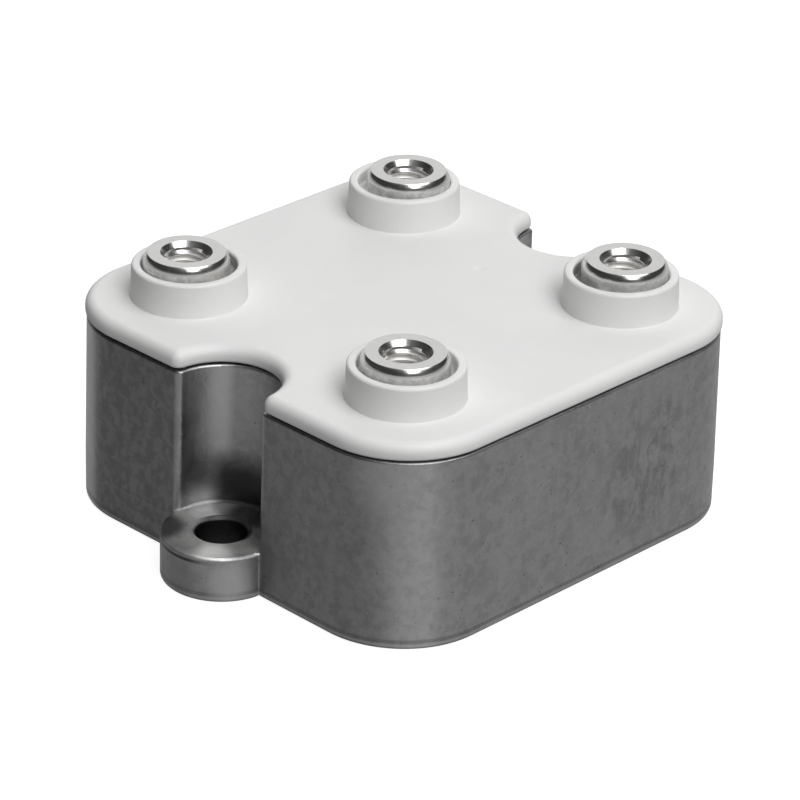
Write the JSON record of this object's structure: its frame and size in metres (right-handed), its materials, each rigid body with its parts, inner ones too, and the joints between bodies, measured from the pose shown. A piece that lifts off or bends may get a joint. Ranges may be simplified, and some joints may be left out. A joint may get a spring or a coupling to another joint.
{
  "type": "bridge rectifier",
  "caption": "Panel-mount bridge rectifier: a square cast aluminium case with side mounting lugs in round notches, and a moulded cap with bosses round threaded terminals.",
  "frame": {"origin": "middle of the cooling face under the case", "axes": "+Z out of the terminals, +X along the line through the two mounting holes, +Y towards the positive terminal's side"},
  "size_m": [0.0696, 0.0574, 0.0302],
  "materials": {
    "cast_aluminium": "dull cast surface",
    "white_moulding": "fine matt moulding",
    "nickel_plate": "satin nickel plating",
    "alumina": "unglazed",
    "copper": "bare copper sheet",
    "silicon": "polished and passivated",
    "molybdenum": "ground",
    "silicone_gel": "clear soft gel",
    "potting_resin": "cast black resin"
  },
  "bodies": {
    "root": {"housing": "cast_aluminium", "cap": "white_moulding", "terminal_positive": "nickel_plate", "terminal_ac_left": "nickel_plate", "terminal_ac_right": "nickel_plate", "terminal_negative": "nickel_plate", "insulator_plate": "alumina", "pad_positive": "copper", "pad_ac_left": "copper", "pad_ac_right": "copper", "pad_negative": "copper", "diode_chip_1": "silicon", "diode_chip_2": "silicon", "diode_chip_3": "silicon", "diode_chip_4": "silicon", "contact_disc_1": "molybdenum", "contact_disc_2": "molybdenum", "contact_disc_3": "molybdenum", "contact_disc_4": "molybdenum", "strap_1": "copper", "strap_2": "copper", "strap_3": "copper", "strap_4": "copper", "riser_positive": "copper", "riser_ac_left": "copper", "riser_ac_right": "copper", "riser_negative": "copper", "gel_fill": "silicone_gel", "potting_layer": "potting_resin"}
  },
  "joints": []
}
